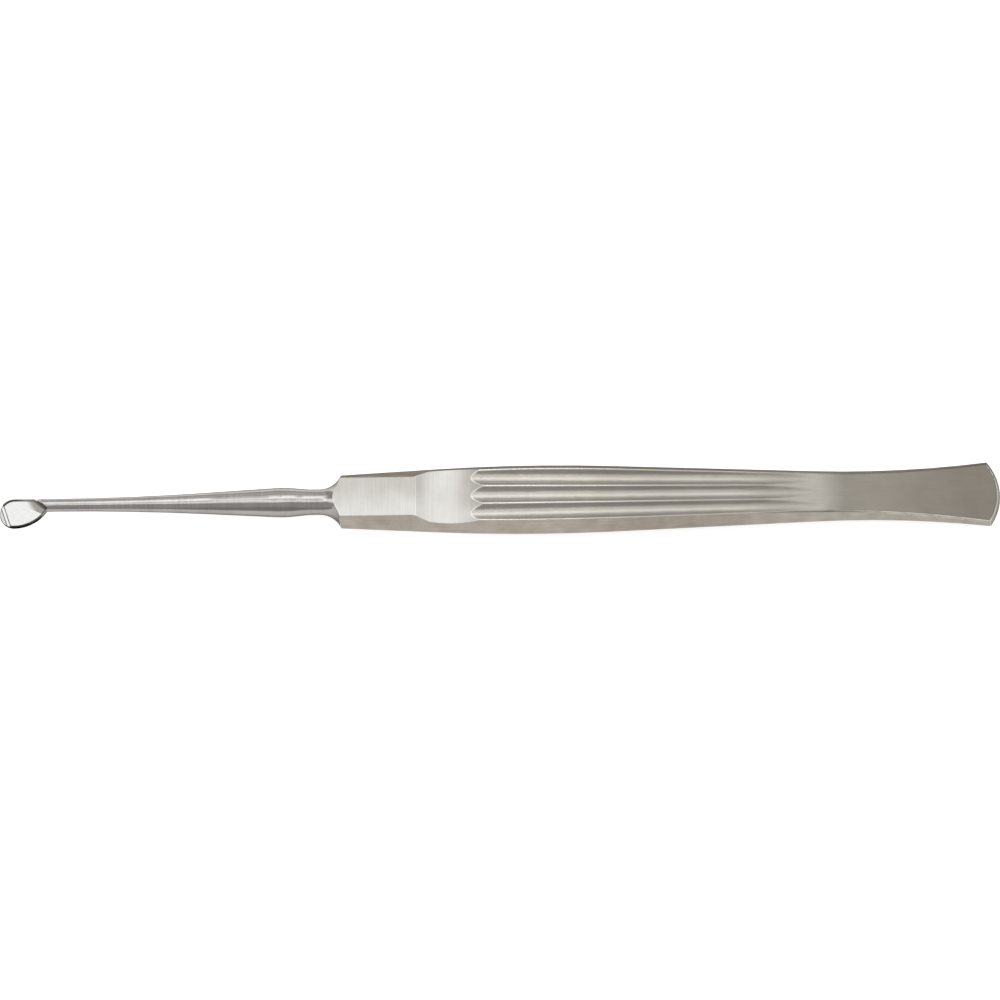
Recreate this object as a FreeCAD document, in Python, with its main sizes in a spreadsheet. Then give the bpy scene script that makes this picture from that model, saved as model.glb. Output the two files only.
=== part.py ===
import FreeCAD, Part
import math
import os
import re
import Sketcher

# Septum knife: one bar of stainless steel, drop forged and ground, in millimetres.
# The sketches measure stations along X from the shoulder corner, where the handle begins.
# The blade lies on the -X side and the working face looks up +Z. The handle is alike on
# both faces and on both sides of its centreline.

SIZES = {
    # whole bar
    "front_length": 54.6,  # blade tip to shoulder corner
    "handle_length": 105.4,  # shoulder corner to the rounded end of the tail
    # handle seen from above, half widths at the parting ridge
    "shoulder_half_width": 4.45,
    "belly_half_width": 5.736,
    "belly_station": 31.6,
    "belly_curve_share": 0.52,  # part of the run from the shoulder to the belly that curves
    "waist_half_width": 4.10,
    "waist_station": 82.6,
    "tail_half_width": 5.35,
    "tail_corner_setback": 1.8,
    "forging_draft": 24.7,  # lean of the side facets, degrees
    # handle seen from the side, half thicknesses
    "flat_half_thickness": 2.77,
    "flat_length": 12.0,
    "scallop_bend": 16.0,
    "crest_station": 23.0,
    "crest_half_thickness": 3.30,
    "knee_station": 62.0,
    "knee_half_thickness": 2.835,
    "knee_bend": 200.0,
    "tail_half_thickness": 0.82,
    "tail_edge_round": 0.35,
    "blank_margin": 1.0,  # extra metal and reach for the cuts that shape the blank
    # relief ground along both long edges of the thumb flat
    "relief_half_width": 3.17,
    "relief_lean": 34.45,
    "relief_length": 11.4,
    "relief_runout": 11.3,  # angle at which the grinding wheel leaves the steel
    # grip flutes
    "flute_bend": 1.9,
    "flute_length": 66.0,
    "flute_floor_front": 2.56,
    "flute_floor_back": 2.10,
    "flute_spacing_front": 3.0,
    "flute_spacing_back": 2.15,
    # round shoulder, neck, bulb and shank
    "flare_bend": 3.75,
    "flare_overlap": 0.3,  # how far the round shoulder runs past the corner
    "neck_radius": 2.05,
    "neck_length": 1.35,
    "bulb_radius": 2.37,
    "bulb_to_neck": 4.6,
    "bulb_softness": 0.85,  # 1 leaves no straight line between the bulb's bend and the neck's
    "bulb_bend_share": 0.70,
    "shank_radius": 1.03,
    "shank_curve_share": 0.64,  # part of the run from the blade to the bulb that curves
    "shank_straight": 1.8,  # even round stretch behind the blade
    "nose_length": 1.9,  # shank fading into the blade
    "nose_tip_radius": 0.22,
    # blade
    "blade_radius": 2.35,
    "blade_length": 7.0,
    "blade_far_edge": 0.98,
    "flank_bend": 6.23,
    "blade_thickness": 0.90,
    "rim_width": 0.24,
    "recess_floor": 0.15,
    "recess_draft": 30.0,
    "root_setback": 6.35,
    "root_slant": 40.6,
    "edge_bearing": 20.0,
    "edge_bevel_width": 0.66,
    "edge_bevel_angle": 31.0,
    "back_bevel_width": 0.50,
    "back_bevel_angle": 16.0,
}
LEFT = 1
RIGHT = -1

doc = FreeCAD.newDocument("septum_knife")
sheet = doc.addObject("Spreadsheet::Sheet", "Sizes")
for row, (alias, number) in enumerate(SIZES.items(), start=1):
    sheet.set(f"A{row}", alias)
    sheet.set(f"B{row}", str(number))
    sheet.setAlias(f"B{row}", alias)
doc.recompute()

knife = doc.addObject("PartDesign::Body", "septum_knife")
knife.Label = "septum_knife"
planes = {feature.Role: feature for feature in knife.Origin.OriginFeatures}


# Formulas use the bare names of the sizes, and the document reads them from the sheet.
def in_sheet(formula):
    names = {name: f"Sizes.{name}" for name in SIZES}
    return re.sub(r"[a-z_]+", lambda word: names.get(word[0], word[0]), str(formula))


def value(formula):
    return float(sheet.evalExpression(in_sheet(formula)))


def bind(thing, path, formula):
    thing.setExpression(path, in_sheet(formula))


# Lean, in degrees, of the straight line that touches a crest and a hollow of an outline,
# from the run and the fall between the two extreme points and the sum of both radii.
def lean(run, fall, radii):
    reach = f"(({radii}) - ({fall}))"
    return f"(atan2({run}, {reach}) - acos(({radii}) / hypot({run}, {reach})))"


# Radius that lets an arc take up a share of a straight run that also has to climb.
def bend_for(share, run, climb):
    return f"(({share}) * ({run})^2 * (1 - ({share}) / 2) / ({climb}))"


# Radius of an arc that leaves its extreme point level and passes a point out there.
def bend_through(out, off):
    return f"((({out})^2 + ({off})^2) / (2 * ({off})))"


# Point of an arc at an angle past its extreme point. A hollow has a negative radius.
def past(station, height, radius, angle):
    return f"({station}) + ({radius}) * sin({angle})", f"({height}) - ({radius}) * (1 - cos({angle}))"


def new_sketch(name, plane, turn_axis=None, turn=0, base=(0, 0, 0)):
    sketch = knife.newObject("Sketcher::SketchObject", name)
    sketch.AttachmentSupport = (planes[plane], [""])
    sketch.MapMode = "FlatFace"
    if turn_axis:
        turned = FreeCAD.Rotation(turn_axis, value(turn))
        sketch.AttachmentOffset = FreeCAD.Placement(FreeCAD.Vector(), turned)
        bind(sketch, "AttachmentOffset.Rotation.Angle", turn)
    for letter, formula in zip("xyz", base):
        if formula:
            bind(sketch, f"AttachmentOffset.Base.{letter}", formula)
    return sketch


def hold(sketch, kind, *where, formula):
    index = sketch.addConstraint(Sketcher.Constraint(kind, *where, value(formula)))
    bind(sketch, f"Constraints[{index}]", formula)


def arc_between(start, end, turn, radius):
    chord = end - start
    across = FreeCAD.Vector(-chord.y, chord.x, 0).normalize() * turn
    centre = (start + end) * 0.5 + across * math.sqrt(radius**2 - chord.Length**2 / 4)
    tips = (start, end) if turn == LEFT else (end, start)
    angles = [math.atan2(tip.y - centre.y, tip.x - centre.x) for tip in tips]
    return Part.ArcOfCircle(Part.Circle(centre, FreeCAD.Vector(0, 0, 1), radius), *angles)


# A closed outline through corners given as formulas. A corner that also names a turn and
# a radius goes on to the next corner in an arc.
def outline(sketch, path):
    corners = [FreeCAD.Vector(value(corner[0]), value(corner[1]), 0) for corner in path]
    tips = []
    for number, (_, _, *bend) in enumerate(path):
        start = corners[number]
        end = corners[(number + 1) % len(corners)]
        if bend:
            part = sketch.addGeometry(arc_between(start, end, bend[0], value(bend[1])))
            tips.append((part, 1, 2) if bend[0] == LEFT else (part, 2, 1))
        else:
            part = sketch.addGeometry(Part.LineSegment(start, end))
            tips.append((part, 1, 2))
    for number, (part, first, last) in enumerate(tips):
        following, entry, _ = tips[(number + 1) % len(tips)]
        sketch.addConstraint(Sketcher.Constraint("Coincident", part, last, following, entry))
        hold(sketch, "DistanceX", part, first, formula=path[number][0])
        hold(sketch, "DistanceY", part, first, formula=path[number][1])
        if len(path[number]) > 2:
            hold(sketch, "Radius", part, formula=path[number][3])


def feature(kind, name, sketch, **settings):
    made = knife.newObject(f"PartDesign::{kind}", name)
    made.Profile = sketch
    for key, setting in settings.items():
        if isinstance(setting, str) and key not in ("Type", "SideType"):
            bind(made, key, setting)
        else:
            setattr(made, key, setting)
    sketch.Visibility = False
    doc.recompute()
    return made


# A cut that removes nothing points the wrong way, so its volume is compared.
def cut(kind, name, sketch, **settings):
    before = knife.Shape.Volume
    made = feature(kind, name, sketch, **settings)
    if not knife.Shape.Volume < before - 1e-4:
        raise RuntimeError(f"{name} removed no steel")
    return made


def mirrored(name, plane, **settings):
    made = knife.newObject("PartDesign::Mirrored", name)
    made.MirrorPlane = (planes[plane], [""])
    for key, setting in settings.items():
        setattr(made, key, setting)
    knife.Tip = made
    doc.recompute()
    return made


flare_start = "(flare_overlap - flare_bend)"
neck_end = f"({flare_start} - neck_length)"  # the blank's drafted front face ends inside the neck
cut_front = f"({neck_end} - blank_margin)"
cut_back = "(handle_length + blank_margin)"


# Upper half of the forging: the plan outline, drafted inwards from the parting ridge.
def make_blank():
    corner = "(handle_length - tail_corner_setback)"
    belly_rise = "(belly_half_width - shoulder_half_width)"
    belly_bend = bend_for("belly_curve_share", "belly_station", belly_rise)
    waist_bend = bend_through(f"{corner} - waist_station", "tail_half_width - waist_half_width")
    end_bend = bend_through("tail_half_width", "tail_corner_setback")
    rise = lean("belly_station", belly_rise, belly_bend)
    waist_fall = "belly_half_width - waist_half_width"
    fall = lean("(waist_station - belly_station)", waist_fall, f"{belly_bend} + {waist_bend}")
    edge = [
        (neck_end, f"shoulder_half_width + {neck_end} * tan({rise})"),
        past("belly_station", "belly_half_width", belly_bend, f"-{rise}"),
        past("belly_station", "belly_half_width", belly_bend, fall),
        past("waist_station", "waist_half_width", f"-{waist_bend}", fall),
        (corner, "tail_half_width"),
    ]
    bends = [(), (LEFT, belly_bend), (), (RIGHT, waist_bend)]
    near_side = [(x, f"-({y})", *bend) for (x, y), bend in zip(edge, bends + [(LEFT, end_bend)])]
    far_side = [(x, y, *bend) for (x, y), bend in zip(reversed(edge), list(reversed(bends)) + [()])]
    sketch = new_sketch("plan_outline", "XY_Plane")
    outline(sketch, near_side + far_side)
    height = "crest_half_thickness + blank_margin"
    feature("Pad", "forged_half", sketch, Length=height, TaperAngle="-forging_draft")


# Thumb flat, scallop, crest, knee and tail wedge, ground across the handle.
def grind_face():
    back_lean = "atan2(crest_half_thickness - knee_half_thickness, knee_station - crest_station)"
    wedge_lean = "atan2(knee_half_thickness - tail_half_thickness, handle_length - knee_station)"
    reach = f"knee_bend * tan(({wedge_lean} - {back_lean}) / 2)"
    roof = "crest_half_thickness + 2 * blank_margin"
    path = [
        (cut_front, "flat_half_thickness"),
        ("flat_length", "flat_half_thickness", LEFT, "scallop_bend"),
        ("crest_station", "crest_half_thickness"),
        (
            f"knee_station - {reach} * cos({back_lean})",
            f"knee_half_thickness + {reach} * sin({back_lean})",
            RIGHT,
            "knee_bend",
        ),
        (
            f"knee_station + {reach} * cos({wedge_lean})",
            f"knee_half_thickness - {reach} * sin({wedge_lean})",
        ),
        (cut_back, f"tail_half_thickness - blank_margin * tan({wedge_lean})"),
        (cut_back, roof),
        (cut_front, roof),
    ]
    sketch = new_sketch("side_profile", "XZ_Plane")
    outline(sketch, path)
    cut("Pocket", "ground_face", sketch, Type="ThroughAll", Midplane=True)


# A mop rounds the edge round the tail. The rounding runs on along both arrises to the crest.
def round_tail():
    last_stretch = value("handle_length - 2 * tail_corner_setback")
    lowest = value("tail_half_thickness / 2")
    base = knife.Tip
    edges = []
    for number, edge in enumerate(base.Shape.Edges, start=1):
        if edge.BoundBox.XMax > last_stretch and edge.BoundBox.ZMin > lowest:
            edges.append(f"Edge{number}")
    rounded = knife.newObject("PartDesign::Fillet", "rounded_tail")
    rounded.Base = (base, edges)
    bind(rounded, "Radius", "tail_edge_round")
    doc.recompute()


# Each long edge of the thumb flat is relieved by a plane that leaves the steel gently.
def grind_relief():
    depth = "(relief_half_width * cos(relief_lean) + flat_half_thickness * sin(relief_lean))"
    path = [
        (cut_front, depth),
        ("relief_length", depth),
        ("crest_station", f"{depth} + (crest_station - relief_length) * tan(relief_runout)"),
        ("crest_station", f"{depth} + belly_half_width"),
        (cut_front, f"{depth} + belly_half_width"),
    ]
    sketch = new_sketch("relief_profile", "XY_Plane", FreeCAD.Vector(1, 0, 0), "relief_lean")
    outline(sketch, path)
    relief = cut("Pocket", "edge_relief", sketch, Type="ThroughAll", Midplane=True)
    mirrored("edge_relief_far", "XZ_Plane", Originals=[relief])


# Round-bottomed flutes start in the middle of the scallop, draw together towards the tail
# and run out where the wedge gets thinner than their floor.
def mill_flute(name, spacing_front, spacing_back):
    start = "(flat_length + crest_station) / 2"
    sketch = new_sketch(f"{name}_circle", "YZ_Plane", base=(0, 0, start))
    centre = (spacing_front, "flute_floor_front + flute_bend")
    middle = FreeCAD.Vector(value(centre[0]), value(centre[1]), 0)
    ring = sketch.addGeometry(Part.Circle(middle, FreeCAD.Vector(0, 0, 1), value("flute_bend")))
    hold(sketch, "Radius", ring, formula="flute_bend")
    hold(sketch, "DistanceX", ring, 3, formula=centre[0])
    hold(sketch, "DistanceY", ring, 3, formula=centre[1])
    drift = f"(({spacing_back}) - ({spacing_front})) / flute_length"
    drop = "(flute_floor_back - flute_floor_front) / flute_length"
    steer = {"UseCustomVector": True, "Direction.x": "1", "Direction.y": drift, "Direction.z": drop}
    return cut("Pocket", name, sketch, Type="Length", Length="flute_length", **steer)


def mill_flutes():
    mill_flute("middle_flute", "0", "0")
    side = mill_flute("side_flute", "flute_spacing_front", "flute_spacing_back")
    mirrored("side_flute_far", "XZ_Plane", Originals=[side])


# The shoulder is turned: a hollow quarter round, from the neck out past the corners.
def turn_shoulder():
    outer = "(neck_radius + flare_bend + blank_margin)"
    path = [
        (flare_start, "neck_radius", LEFT, "flare_bend"),
        ("flare_overlap", "neck_radius + flare_bend"),
        ("flare_overlap", outer),
        (cut_front, outer),
        (cut_front, "neck_radius"),
    ]
    sketch = new_sketch("flare_profile", "XZ_Plane")
    outline(sketch, path)
    cut("Groove", "round_shoulder", sketch, ReferenceAxis=(sketch, ["H_Axis"]))


# Neck, bulb and tapering shank, down to the nose that fades into the blade. A point at the
# other end reaches into the handle.
def turn_shank():
    nose_end = "(blade_length - front_length)"
    bend_start = f"({nose_end} + shank_straight)"
    bulb = f"({neck_end} - bulb_to_neck)"
    run = f"({bulb} - {bend_start})"
    shank_bend = bend_for("shank_curve_share", run, "bulb_radius - shank_radius")
    both_bends = f"(bulb_softness * {bend_through('bulb_to_neck', 'bulb_radius - neck_radius')})"
    bulb_bend = f"(bulb_bend_share * {both_bends})"
    neck_bend = f"((1 - bulb_bend_share) * {both_bends})"
    taper = lean(run, "bulb_radius - shank_radius", f"{shank_bend} + {bulb_bend}")
    drop = lean("bulb_to_neck", "bulb_radius - neck_radius", both_bends)
    nose_bend = bend_through("nose_length", "shank_radius - nose_tip_radius")
    path = [
        (f"{nose_end} - nose_length", "0"),
        (f"{nose_end} - nose_length", "nose_tip_radius", RIGHT, nose_bend),
        (nose_end, "shank_radius"),
        (bend_start, "shank_radius", LEFT, shank_bend),
        past(bend_start, "shank_radius", f"-{shank_bend}", f"-{taper}"),
        (*past(bulb, "bulb_radius", bulb_bend, f"-{taper}"), RIGHT, bulb_bend),
        past(bulb, "bulb_radius", bulb_bend, drop),
        (*past(neck_end, "neck_radius", f"-{neck_bend}", drop), LEFT, neck_bend),
        (neck_end, "neck_radius"),
        (flare_start, "neck_radius"),
        ("0", "0"),
    ]
    sketch = new_sketch("shank_profile", "XZ_Plane")
    outline(sketch, path)
    feature("Revolution", "shank", sketch, ReferenceAxis=(sketch, ["H_Axis"]))


blade_x = "(blade_radius - front_length)"
blade_y = "(blade_far_edge - blade_radius)"
flank_y = "(blade_far_edge - 2 * blade_radius + flank_bend)"


# Round cutting end, straight far side in line with the shank, and a long curved flank.
def pad_blade():
    inside = "(shank_radius / 2)"
    flank_end = f"({blade_x} + sqrt(flank_bend^2 - ({inside} + {flank_y})^2))"
    path = [
        (blade_x, "blade_far_edge", LEFT, "blade_radius"),
        ("-front_length", blade_y, LEFT, "blade_radius"),
        (blade_x, f"{blade_y} - blade_radius", LEFT, "flank_bend"),
        (flank_end, f"-{inside}"),
        (flank_end, inside),
        ("blade_length - front_length", "blade_far_edge"),
    ]
    sketch = new_sketch("blade_outline", "XY_Plane")
    outline(sketch, path)
    feature("Pad", "blade", sketch, SideType="Symmetric", Length="blade_thickness")


# The polished face is sunk inside a narrow rim and ends in a slanting wall at the root.
def sink_face():
    upper = "(blade_far_edge - rim_width)"
    inset = "(blade_radius - rim_width)"
    flank = "(flank_bend - rim_width)"
    root_x = "(root_setback - front_length)"
    along = f"(({root_x} - {blade_x}) * cos(root_slant) + {flank_y} * sin(root_slant))"
    reach = f"(sqrt({along}^2 - ({root_x} - {blade_x})^2 - {flank_y}^2 + {flank}^2) - {along})"
    path = [
        (blade_x, upper, LEFT, inset),
        (f"{blade_x} - {inset}", blade_y, LEFT, inset),
        (blade_x, f"{blade_y} - {inset}", LEFT, flank),
        (f"{root_x} + {reach} * cos(root_slant)", f"-{reach} * sin(root_slant)"),
        (f"{root_x} - {upper} / tan(root_slant)", upper),
    ]
    sketch = new_sketch("face_outline", "XY_Plane", base=(0, 0, "recess_floor"))
    outline(sketch, path)
    cut(
        "Pocket",
        "polished_face",
        sketch,
        Type="Length",
        Length="shank_radius + blank_margin",
        TaperAngle="recess_draft",
        Reversed=True,
    )


# Two flat bevels meet the lower front of the blade and make its cutting edge.
def grind_edge():
    inner = "(blade_radius - edge_bevel_width - back_bevel_width)"
    middle_z = "(recess_floor - back_bevel_width * tan(back_bevel_angle))"
    outer = "(blade_radius + blank_margin)"
    path = [
        (inner, "recess_floor"),
        ("blade_radius - edge_bevel_width", middle_z),
        (outer, f"{middle_z} - (edge_bevel_width + blank_margin) * tan(edge_bevel_angle)"),
        (outer, "shank_radius + blank_margin"),
        (inner, "shank_radius + blank_margin"),
    ]
    base = (blade_x, 0, f"-{blade_y}")
    sketch = new_sketch("edge_profile", "XZ_Plane", FreeCAD.Vector(0, 1, 0), "180 + edge_bearing", base)
    outline(sketch, path)
    cut("Pocket", "cutting_edge", sketch, Type="ThroughAll", Midplane=True)


make_blank()
grind_face()
round_tail()
grind_relief()
mill_flutes()
turn_shoulder()
mirrored("both_faces", "XY_Plane", TransformMode="Whole shape")
turn_shank()
pad_blade()
sink_face()
grind_edge()

# The part's origin is the middle of its length.
bind(knife, "Placement.Base.x", "(front_length - handle_length) / 2")
doc.recompute()

for item in doc.Objects:
    if "Invalid" in item.State or "Error" in item.State:
        raise RuntimeError(f"{item.Name} failed: {item.State}")
solid = knife.Shape
if solid.isNull() or not solid.isValid() or len(solid.Solids) != 1:
    raise RuntimeError("septum_knife is not one valid solid")

os.makedirs("parts", exist_ok=True)
solid.exportStep("parts/septum_knife.step")
box = solid.optimalBoundingBox()
extent = f"{box.XLength:.2f} x {box.YLength:.2f} x {box.ZLength:.2f} mm"
print(f"septum_knife {extent}, {solid.Volume:.1f} mm3")
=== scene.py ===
import math

import bpy
from mathutils import Matrix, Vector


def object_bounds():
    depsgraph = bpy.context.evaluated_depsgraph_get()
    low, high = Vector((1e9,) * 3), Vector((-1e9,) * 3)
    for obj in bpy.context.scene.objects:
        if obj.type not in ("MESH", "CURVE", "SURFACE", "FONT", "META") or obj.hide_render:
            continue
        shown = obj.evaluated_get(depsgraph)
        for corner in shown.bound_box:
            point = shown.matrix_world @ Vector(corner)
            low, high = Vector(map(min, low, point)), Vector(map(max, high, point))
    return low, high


# Septum knife of stainless steel on a pale table. All lengths are metres unless a name says mm.
# The blade points to -X, the tail to +X, and the working face looks up +Z.

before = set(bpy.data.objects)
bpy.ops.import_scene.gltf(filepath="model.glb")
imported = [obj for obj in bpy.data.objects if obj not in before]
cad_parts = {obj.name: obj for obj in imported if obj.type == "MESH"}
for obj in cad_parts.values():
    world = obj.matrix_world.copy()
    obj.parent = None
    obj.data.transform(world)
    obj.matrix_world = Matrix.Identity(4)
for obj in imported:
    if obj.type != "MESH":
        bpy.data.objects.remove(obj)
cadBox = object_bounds()  # kept from before anything is added
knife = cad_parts["septum_knife"]
mm = 0.001
print("knife loaded,", len(knife.data.polygons), "facets")


def toLinear(hexColour):
    parts = [int(hexColour[place:place + 2], 16) / 255 for place in (1, 3, 5)]
    return [part / 12.92 if part <= 0.04045 else ((part + 0.055) / 1.055) ** 2.4 for part in parts] + [1.0]


# Adds a node: settings are its own properties, values its sockets, links the sockets fed by (node, output).
def addNode(tree, kind, settings=None, values=None, links=None):
    node = tree.nodes.new(kind)
    for name, setting in (settings or {}).items():
        setattr(node, name, setting)
    for socket, number in (values or {}).items():
        node.inputs[socket].default_value = number
    for socket, (source, output) in (links or {}).items():
        tree.links.new(source.outputs[output], node.inputs[socket])
    return node


# A share that is 0 before start and 1 past end, both in mm from the knife's middle along a direction.
def slopeAlong(tree, place, direction, start, end):
    along = addNode(tree, "ShaderNodeVectorMath", {"operation": "DOT_PRODUCT"}, {1: direction},
                    {0: (place, "Object")})
    return addNode(tree, "ShaderNodeMapRange", {"interpolation_type": "SMOOTHSTEP"},
                   {"From Min": start * mm, "From Max": end * mm}, {"Value": (along, "Value")})


# What all the finishes share.
grain = {
    "lineDetail": 3.0, "lineBreakUp": 0.6, "cloudDetail": 4.0, "cloudBreakUp": 0.55,
    "swing": (0.3, 0.7),  # the noise seldom leaves this range, so it is stretched to the whole one
    "edgeTurnDeg": (3, 10),  # an edge's painted tone and its smoothness begin where its rounding turns the surface this far
    "edgeSamples": 8,
}


# Stainless steel in one of the knife's finishes. A grinding belt, wheel or mop leaves fine parallel
# lines, so the noise is stretched along them. A rounded edge has a smoothness of its own and a painted
# tone, a painted highlight on most finishes and a painted dark line on the blade.
def steelFinish(name, look):
    steel = bpy.data.materials.new(name)
    steel.use_nodes = True
    tree = steel.node_tree
    tree.nodes.clear()
    place = addNode(tree, "ShaderNodeTexCoord")
    linesPerMetre = [1 / (spacing * mm) for spacing in look["lineSpacingMm"]]
    linesPlace = addNode(tree, "ShaderNodeMapping", values={"Scale": linesPerMetre},
                         links={"Vector": (place, "Object")})
    lines = addNode(tree, "ShaderNodeTexNoise",
                    values={"Scale": 1.0, "Detail": grain["lineDetail"], "Roughness": grain["lineBreakUp"]},
                    links={"Vector": (linesPlace, "Vector")})
    cloud = addNode(tree, "ShaderNodeTexNoise",
                    values={"Scale": 1 / (look["cloudMm"] * mm), "Detail": grain["cloudDetail"],
                            "Roughness": grain["cloudBreakUp"]},
                    links={"Vector": (place, "Object")})
    swing = dict(zip(("From Min", "From Max"), grain["swing"]))
    streak = addNode(tree, "ShaderNodeMapRange", values=swing, links={"Value": (lines, "Fac")})
    mottle = addNode(tree, "ShaderNodeMapRange", values=swing, links={"Value": (cloud, "Fac")})

    # edges: the rounded normal leaves the facet's own one near an edge, and the lines are cut into it
    rounded = addNode(tree, "ShaderNodeBevel", {"samples": grain["edgeSamples"]},
                      {"Radius": look["edgeMm"] * mm})
    bumped = addNode(tree, "ShaderNodeBump", values={"Strength": 1.0, "Distance": look["lineDepthMm"] * mm},
                     links={"Height": (lines, "Fac"), "Normal": (rounded, "Normal")})
    unworn = addNode(tree, "ShaderNodeNewGeometry")
    turned = addNode(tree, "ShaderNodeVectorMath", {"operation": "DOT_PRODUCT"},
                     links={0: (rounded, "Normal"), 1: (unworn, "Normal")})
    turnStart, turnFull = look.get("edgeTurnDeg", grain["edgeTurnDeg"])
    edge = addNode(tree, "ShaderNodeMapRange",
                   values={"From Min": math.cos(math.radians(turnStart)),
                           "From Max": math.cos(math.radians(turnFull))},
                   links={"Value": (turned, "Value")})
    # the painted edge tone and the edges' smoothness can fade out along +X
    if "edgeFadeMm" in look:
        paintedEdgeFade = slopeAlong(tree, place, (-1, 0, 0), *look["edgeFadeMm"])
        edge = addNode(tree, "ShaderNodeMath", {"operation": "MULTIPLY"},
                       links={0: (edge, 0), 1: (paintedEdgeFade, 0)})

    # tone and roughness: lines, then clouds, then the painted tone near edges, then darker places, most of
    # them painted shade
    tone = addNode(tree, "ShaderNodeMix", {"data_type": "RGBA"},
                   {"A": toLinear(look["darkHex"]), "B": toLinear(look["lightHex"])},
                   {"Factor": (streak, "Result")})
    tone = addNode(tree, "ShaderNodeMix", {"data_type": "RGBA", "blend_type": "MULTIPLY"},
                   {"B": toLinear(look["cloudHex"])}, {"Factor": (mottle, "Result"), "A": (tone, "Result")})
    rough = addNode(tree, "ShaderNodeMapRange",
                    values={"To Min": look["roughness"] - look["roughnessSpread"],
                            "To Max": look["roughness"] + look["roughnessSpread"]},
                    links={"Value": (lines, "Fac")})
    # near an edge the colour is painted: a painted highlight on most finishes, a painted dark line on the
    # blade
    tone = addNode(tree, "ShaderNodeMix", {"data_type": "RGBA"}, {"B": toLinear(look["paintedEdgeHex"])},
                   {"Factor": (edge, 0), "A": (tone, "Result")})
    rough = addNode(tree, "ShaderNodeMix", values={"B": look["edgeRoughness"]},
                    links={"Factor": (edge, 0), "A": (rough, "Result")})
    # places darkened by a colour, each with a roughness of its own; most of them are painted shade
    for patch in look.get("shadeAndDullPlaces", ()):
        share = None
        for direction, start, end in patch["slopesMm"]:
            slope = slopeAlong(tree, place, direction, start, end)
            share = slope if share is None else addNode(
                tree, "ShaderNodeMath", {"operation": "MULTIPLY"}, links={0: (share, 0), 1: (slope, 0)})
        tone = addNode(tree, "ShaderNodeMix", {"data_type": "RGBA", "blend_type": "MULTIPLY"},
                       {"B": toLinear(patch["toneHex"])}, {"Factor": (share, 0), "A": (tone, "Result")})
        rough = addNode(tree, "ShaderNodeMix", values={"B": patch["roughness"]},
                        links={"Factor": (share, 0), "A": (rough, "Result")})

    along = addNode(tree, "ShaderNodeCombineXYZ", values={"X": 1.0})  # along the knife
    # the grazing colour: where it is much darker than the steel, it is painted shade for faces seen at a
    # grazing angle
    surface = addNode(tree, "ShaderNodeBsdfPrincipled",
                      values={"Metallic": 1.0, "Anisotropic": look["anisotropy"],
                              "Anisotropic Rotation": look["anisotropyTurn"],
                              "Specular Tint": toLinear(look["grazingHex"])},
                      links={"Base Color": (tone, "Result"), "Roughness": (rough, "Result"),
                             "Normal": (bumped, "Normal"), "Tangent": (along, "Vector")})
    addNode(tree, "ShaderNodeOutputMaterial", links={"Surface": (surface, "BSDF")})
    return steel


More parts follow.
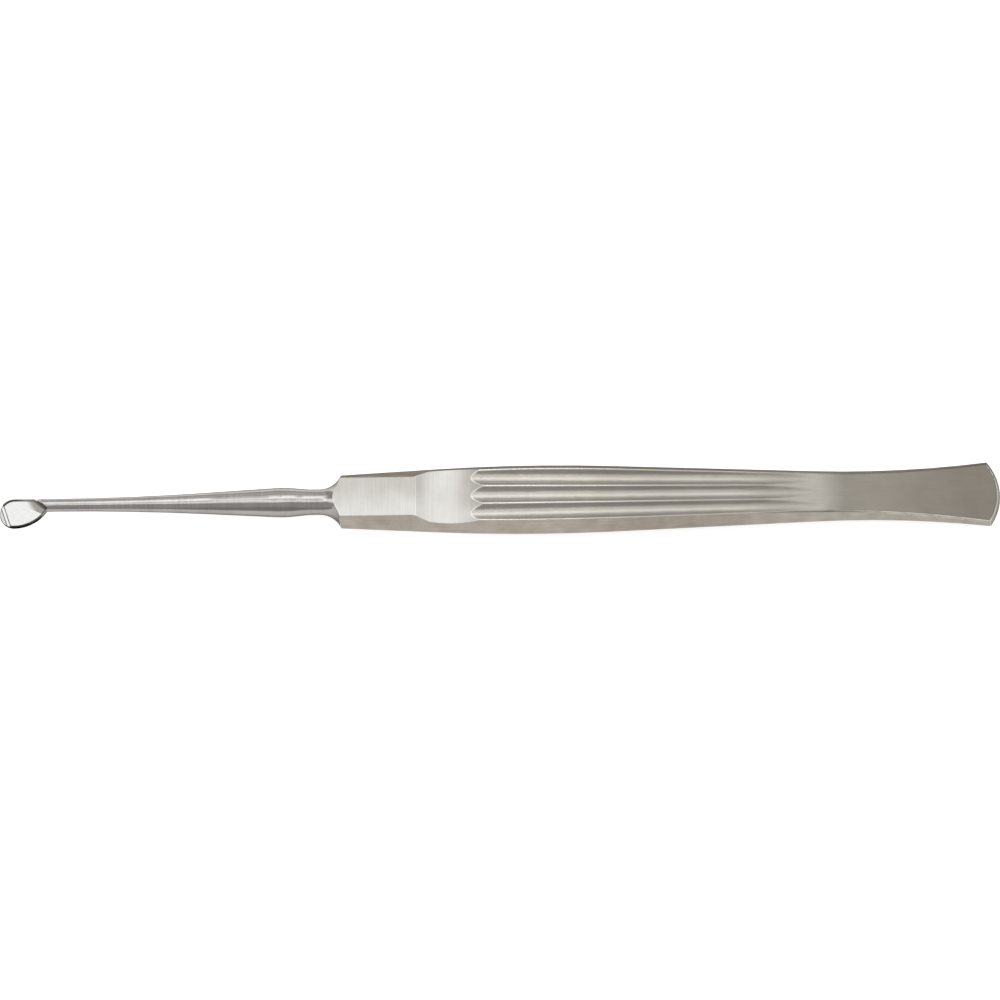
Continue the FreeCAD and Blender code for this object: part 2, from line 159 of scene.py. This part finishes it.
# The knife's finishes. Line spacings are along X, Y and Z: a long one stretches the lines that way.
# Real grit lines are about 0.03 mm apart, too fine to show here, so every spacing is drawn coarser.
finishes = {
    # brushed across on a belt: light spreads along the handle and fine lines run across it
    "crossBrushedSteel": {
        "lineSpacingMm": (0.18, 7.0, 7.0), "lineDepthMm": 0.0006, "cloudMm": 3.5, "edgeMm": 0.2,
        "darkHex": "#BCBBB8", "lightHex": "#C7C6C3", "cloudHex": "#F3F2F0", "paintedEdgeHex": "#E6E5E2",
        "grazingHex": "#BCBBB8", "anisotropy": 0.75, "anisotropyTurn": 0.0,
        "roughness": 0.36, "roughnessSpread": 0.04, "edgeRoughness": 0.25,
        "shadeAndDullPlaces": [
            # painted shade: the +Y side of the thumb flat is darker, where the reflected light is weaker; a
            # little rougher too
            {"slopesMm": [((0, 1, 0), -2.8, 2.2), ((-1, 0, 0), 9.0, 14.0)],
             "toneHex": "#E9E8E6", "roughness": 0.38},
            # painted shade at the end of the scallop, where its hollow turns away from the light; rougher
            # too
            {"slopesMm": [((1, 0, 0), -8.5, -4.0), ((0, 1, 0), -3.6, 0.0)],
             "toneHex": "#E6E4E0", "roughness": 0.42},
        ],
    },
    # milled and mopped lengthwise: soft bands of light along the flutes, and bright lines on the ridges,
    # from their rounding and from a painted highlight, which fades out towards the tail
    "moppedHandleSteel": {
        "lineSpacingMm": (12.0, 0.22, 0.22), "lineDepthMm": 0.00025, "cloudMm": 5.0, "edgeMm": 0.45,
        # the painted ridge highlight fades out from -5 mm to 45 mm along X
        "edgeFadeMm": (-45, 5),
        "darkHex": "#B9B5AF", "lightHex": "#BFBBB5", "cloudHex": "#F2F1EE", "paintedEdgeHex": "#F0EDE7",
        "grazingHex": "#B4B0A8", "anisotropy": 0.4, "anisotropyTurn": 0.25,
        "roughness": 0.27, "roughnessSpread": 0.03, "edgeRoughness": 0.24,
        "shadeAndDullPlaces": [
            # darker and rougher step by step towards the tail; on the tail's wedge, which leans away from
            # the light, the darkening is painted shade
            {"slopesMm": [((1, 0, 0), 8.0, 26.0)], "toneHex": "#E7E6E4", "roughness": 0.29},
            {"slopesMm": [((1, 0, 0), 50.0, 55.5)], "toneHex": "#CDCCC9", "roughness": 0.36},
            {"slopesMm": [((1, 0, 0), 56.0, 76.0)], "toneHex": "#E1DFDC", "roughness": 0.36},
            # it went across the ends of the flutes, so their light is blurred
            {"slopesMm": [((1, 0, 0), 36.0, 45.0), ((-1, 0, 0), -60.0, -52.0)],
             "toneHex": "#FDFDFD", "roughness": 0.42},
        ],
    },
    # edge that the mop rounded round the tail, its steel painted brighter as a painted highlight: a soft
    # bright line, which fades in past the flutes
    "moppedEdgeHighlightSteel": {
        "lineSpacingMm": (6.0, 0.3, 0.3), "lineDepthMm": 0.0003, "cloudMm": 3.0, "edgeMm": 0.15,
        "darkHex": "#E2DFD9", "lightHex": "#EAE7E1", "cloudHex": "#F2F1EE", "paintedEdgeHex": "#EAE7E1",
        "grazingHex": "#B4B1AB", "anisotropy": 0.0, "anisotropyTurn": 0.0,
        "roughness": 0.45, "roughnessSpread": 0.03, "edgeRoughness": 0.45,
        # painted darker near the flutes, so that the painted highlight fades in
        "shadeAndDullPlaces": [{"slopesMm": [((-1, 0, 0), -64.0, -50.0)], "toneHex": "#B4B1AC", "roughness": 0.4}],
    },
    # ground side facets, tumbled: an even satin of low shine, darker and a little rougher halfway along the
    # handle. Their dark grazing tint is painted shade on the far (+Y) facets, seen at a grazing angle
    "tumbledFacetSteel": {
        "lineSpacingMm": (6.0, 0.35, 0.35), "lineDepthMm": 0.0005, "cloudMm": 2.2, "edgeMm": 0.12,
        "darkHex": "#A39D95", "lightHex": "#AFA9A1", "cloudHex": "#EAE7E1", "paintedEdgeHex": "#D3CFC7",
        "grazingHex": "#73706A", "anisotropy": 0.2, "anisotropyTurn": 0.25,
        "roughness": 0.38, "roughnessSpread": 0.05, "edgeRoughness": 0.28,
        "shadeAndDullPlaces": [
            {"slopesMm": [((1, 0, 0), 8.0, 24.0), ((-1, 0, 0), -46.0, -32.0)],
             "toneHex": "#EFEEEC", "roughness": 0.4},
        ],
    },
    # relief ground beside the thumb flat: the side facets' steel painted a little lighter as painted light,
    # and with a darker grazing tint as painted shade on the far side
    "groundReliefSteel": {
        "lineSpacingMm": (6.0, 0.35, 0.35), "lineDepthMm": 0.0005, "cloudMm": 2.2, "edgeMm": 0.1,
        "darkHex": "#AFA9A1", "lightHex": "#BBB5AD", "cloudHex": "#EAE7E1", "paintedEdgeHex": "#D7D3CB",
        "grazingHex": "#4C4944", "anisotropy": 0.2, "anisotropyTurn": 0.25,
        "roughness": 0.38, "roughnessSpread": 0.05, "edgeRoughness": 0.28,
    },
    # turned on a lathe and polished: rings too fine to count, and sharp bands of light along the shank.
    # The -Y side is painted a little darker, painted shade that dims the table's reflection there, and is a
    # little rougher
    "turnedShankSteel": {
        "lineSpacingMm": (0.25, 4.0, 4.0), "lineDepthMm": 0.0007, "cloudMm": 2.5, "edgeMm": 0.1,
        "darkHex": "#B7B4B2", "lightHex": "#C2BFBD", "cloudHex": "#F0EFEE", "paintedEdgeHex": "#D0CCCA",
        "grazingHex": "#95928F", "anisotropy": 0.2, "anisotropyTurn": 0.0,
        "roughness": 0.18, "roughnessSpread": 0.04, "edgeRoughness": 0.18,
        "shadeAndDullPlaces": [{"slopesMm": [((-0.018, -1, 0), 1.8, 2.1)], "toneHex": "#DAD9D8", "roughness": 0.2}],
    },
    # side walls and rim of the blade, left from grinding: painted darkest on the side where the blade
    # bulges, a painted dark reflection, with a dark grazing tint as painted shade
    "groundRimSteel": {
        "lineSpacingMm": (0.5, 0.5, 0.1), "lineDepthMm": 0.0004, "cloudMm": 1.0, "edgeMm": 0.03,
        "darkHex": "#D2CFCA", "lightHex": "#DAD7D2", "cloudHex": "#EEECE9", "paintedEdgeHex": "#DEDBD6",
        "grazingHex": "#55524D", "anisotropy": 0.0, "anisotropyTurn": 0.0,
        "roughness": 0.3, "roughnessSpread": 0.05, "edgeRoughness": 0.3,
        "shadeAndDullPlaces": [{"slopesMm": [((0, -1, 0), -0.6, 0.4)], "toneHex": "#53514E", "roughness": 0.3}],
    },
    # walls of the recess round the polished face, left from grinding: grey without a sharp image,
    # and painted darkest at the tip, a painted dark reflection
    "groundWallSteel": {
        "lineSpacingMm": (0.5, 0.5, 0.1), "lineDepthMm": 0.0003, "cloudMm": 1.0, "edgeMm": 0.24,
        "darkHex": "#DAD8D4", "lightHex": "#E2E0DC", "cloudHex": "#EEECE9", "paintedEdgeHex": "#EDEBE8",
        "grazingHex": "#6A6862", "anisotropy": 0.0, "anisotropyTurn": 0.0,
        "roughness": 0.25, "roughnessSpread": 0.05, "edgeRoughness": 0.2,
        "shadeAndDullPlaces": [{"slopesMm": [((-1, 0, 0), 75.8, 77.6)], "toneHex": "#8A8783", "roughness": 0.3}],
    },
    # ground and mirror polished: it shows a soft light whole, and its arrises are painted as thin dark
    # lines, a painted dark reflection
    "mirrorBladeSteel": {
        "lineSpacingMm": (0.6, 0.3, 0.6), "lineDepthMm": 0.00003, "cloudMm": 1.2, "edgeMm": 0.21,
        "edgeTurnDeg": (0.5, 2),
        "darkHex": "#B3B3B3", "lightHex": "#B9B9B8", "cloudHex": "#FAFAF9", "paintedEdgeHex": "#1E1C1A",
        "grazingHex": "#D0D0D0", "anisotropy": 0.0, "anisotropyTurn": 0.0,
        "roughness": 0.06, "roughnessSpread": 0.02, "edgeRoughness": 0.06,
        "shadeAndDullPlaces": [{  # painted shade: the grey reflection of the shank's wall in the corner at the root, rougher too
            "slopesMm": [((0.857, 0.514, 0), -64.9, -63.8), ((0.376, 0.926, 0), -28.92, -28.82),
                         ((0, 0, 1), 0.0, 0.05)],
            "toneHex": "#AFADA5", "roughness": 0.2,
        }],
    },
}

# Where one finish gives way to the next: places from the knife's middle, then ways that facets face,
# as parts of a unit normal.
zones = {
    "wallEndMm": -72.7,  # the recess wall reaches this far into the shank, along X
    "bladeEndMm": -73.2,  # the blade's root
    "rimHeightMm": 0.45,  # top of the blade's rim above the middle plane
    "rimSlackMm": 0.01,  # so that the rim's own top counts as rim
    "shoulderEndMm": -25.05,  # where the round shoulder meets the handle
    "neckReachMm": 2.6,  # nothing but round steel lies this near the axis
    "scallopEndMm": -2.3,  # crest behind the thumb scallop
    "fluteEndMm": 52.5,
    "wallUp": 0.5,  # the recess walls lean 30 degrees out of the upright
    "wallSlack": 0.05,
    "wallIn": -0.4,  # they face the tip or the bulge
    "rimUp": 0.5,
    "shoulderBack": -0.12,  # the shoulder faces the blade
    "sideOut": 0.8,  # side facets and reliefs
    "facetOut": 0.87,  # the side facets alone
    "noSide": 0.02,  # thumb flat and scallop don't lean to a side
    "tailEnd": 0.6,
    "levelUp": 0.99,  # the tail's flat faces
    "edgeOut": 0.1,  # the edge with the painted highlight doesn't run along the tail's +Y side
}


# Finish of a facet from its place and the way it faces.
def finishAt(centre, facing):
    x, y, z = centre.x / mm, abs(centre.y) / mm, abs(centre.z) / mm
    leaning = abs(facing.z - zones["wallUp"]) < zones["wallSlack"]
    onWall = leaning and min(facing.x, facing.y) < zones["wallIn"]
    if x < zones["wallEndMm"] and onWall:
        return "groundWallSteel"
    if x < zones["bladeEndMm"]:
        aboveRim = centre.z / mm - zones["rimHeightMm"]
        if aboveRim > zones["rimSlackMm"]:
            return "turnedShankSteel"
        onRim = abs(facing.z) < zones["rimUp"] or aboveRim > -zones["rimSlackMm"]
        return "groundRimSteel" if onRim else "mirrorBladeSteel"
    onNeck = facing.x < zones["shoulderBack"] or math.hypot(y, z) < zones["neckReachMm"]
    if x < zones["shoulderEndMm"] and onNeck:
        return "turnedShankSteel"
    if abs(facing.y) > zones["sideOut"]:
        return "groundReliefSteel" if abs(facing.y) < zones["facetOut"] else "tumbledFacetSteel"
    if x < zones["scallopEndMm"] and abs(facing.y) < zones["noSide"]:
        return "crossBrushedSteel"
    if facing.x > zones["tailEnd"]:
        return "tumbledFacetSteel"
    if x > zones["fluteEndMm"] and abs(facing.z) < zones["levelUp"] and facing.y < zones["edgeOut"]:
        return "moppedEdgeHighlightSteel"
    return "moppedHandleSteel"


knife.data.materials.clear()
for name, look in finishes.items():
    knife.data.materials.append(steelFinish(name, look))
order = list(finishes)
count = dict.fromkeys(order, 0)
for facet in knife.data.polygons:
    finish = finishAt(facet.center, facet.normal)
    facet.material_index = order.index(finish)
    count[finish] += 1
print("finishes set:", count)

# The table under the knife: pale matt laminate, lit evenly, so that it shows hardly any shadow.
table = {
    "halfWidth": 1.5, "clearance": 0.00002,
    "hex": "#C8C8C8", "roughness": 0.8, "glowHex": "#F0F0F0", "glow": 0.9,
}


def layTable():
    low = cadBox[0][2] - table["clearance"]
    half = table["halfWidth"]
    corners = [(-half, -half, low), (half, -half, low), (half, half, low), (-half, half, low)]
    top = bpy.data.meshes.new("table")
    top.from_pydata(corners, [], [(0, 1, 2, 3)])
    floor = bpy.data.objects.new("table", top)
    bpy.context.scene.collection.objects.link(floor)
    laminate = bpy.data.materials.new("mattLaminate")
    laminate.use_nodes = True
    surface = laminate.node_tree.nodes["Principled BSDF"]
    surface.inputs["Base Color"].default_value = toLinear(table["hex"])
    surface.inputs["Roughness"].default_value = table["roughness"]
    surface.inputs["Emission Color"].default_value = toLinear(table["glowHex"])
    surface.inputs["Emission Strength"].default_value = table["glow"]
    top.materials.append(laminate)


layTable()
print("table laid")

# Soft panels of light. Each leans off the vertical towards +Y and swings towards +X, by so many degrees,
# and faces the knife.
panels = {
    "widePanel": {"lean": 22, "swing": -3, "distance": 0.8, "long": 1.4, "wide": 0.8, "radiance": 0.58},
    "brightStrip": {"lean": 24, "swing": 4, "distance": 0.78, "long": 1.0, "wide": 0.36, "radiance": 0.85},
    "lowPanel": {"lean": 66, "swing": 0, "distance": 0.82, "long": 1.0, "wide": 0.36, "radiance": 0.25},
    "nearStrip": {"lean": -9, "swing": 0, "distance": 0.8, "long": 1.0, "wide": 0.14, "radiance": 1.1},
    "tipPanel": {"lean": 0, "swing": -54, "distance": 0.8, "long": 0.75, "wide": 0.24, "radiance": 1.05},
}


def hangPanel(name, look):
    light = bpy.data.lights.new(name, "AREA")
    light.shape = "RECTANGLE"
    light.size = look["long"]
    light.size_y = look["wide"]
    light.energy = look["radiance"] * math.pi * look["long"] * look["wide"]
    panel = bpy.data.objects.new(name, light)
    lean = math.radians(look["lean"])
    swing = math.radians(look["swing"])
    turn = Matrix.Rotation(-lean, 4, "X") @ Matrix.Rotation(swing, 4, "Y")
    panel.matrix_world = turn @ Matrix.Translation((0, 0, look["distance"]))
    bpy.context.scene.collection.objects.link(panel)


for name, look in panels.items():
    hangPanel(name, look)

# Pale grey studio room all round.
room = {"hex": "#B5B4B2", "strength": 1.0}


def paintRoom():
    world = bpy.data.worlds.new("studioRoom")
    world.use_nodes = True
    background = world.node_tree.nodes["Background"]
    background.inputs["Color"].default_value = toLinear(room["hex"])
    background.inputs["Strength"].default_value = room["strength"]
    bpy.context.scene.world = world


paintRoom()
print("lights hung")

# Long lens from the side where the blade bulges, a little off straight above.
viewpoint = {
    "elevationDeg": 72.7, "rollDeg": 0.68, "distance": 0.43, "nearest": 0.01,
    "lensMm": 96.75, "sensorMm": 36.0,
}


def setCamera():
    lens = bpy.data.cameras.new("camera")
    lens.lens = viewpoint["lensMm"]
    lens.sensor_width = viewpoint["sensorMm"]
    lens.clip_start = viewpoint["nearest"]
    camera = bpy.data.objects.new("camera", lens)
    tip = math.radians(90 - viewpoint["elevationDeg"])
    roll = math.radians(-viewpoint["rollDeg"])
    camera.matrix_world = (Matrix.Rotation(tip, 4, "X") @ Matrix.Translation((0, 0, viewpoint["distance"]))
                           @ Matrix.Rotation(roll, 4, "Z"))
    bpy.context.scene.collection.objects.link(camera)
    bpy.context.scene.camera = camera


setCamera()
bpy.context.scene.view_settings.view_transform = "Standard"
print("camera set")
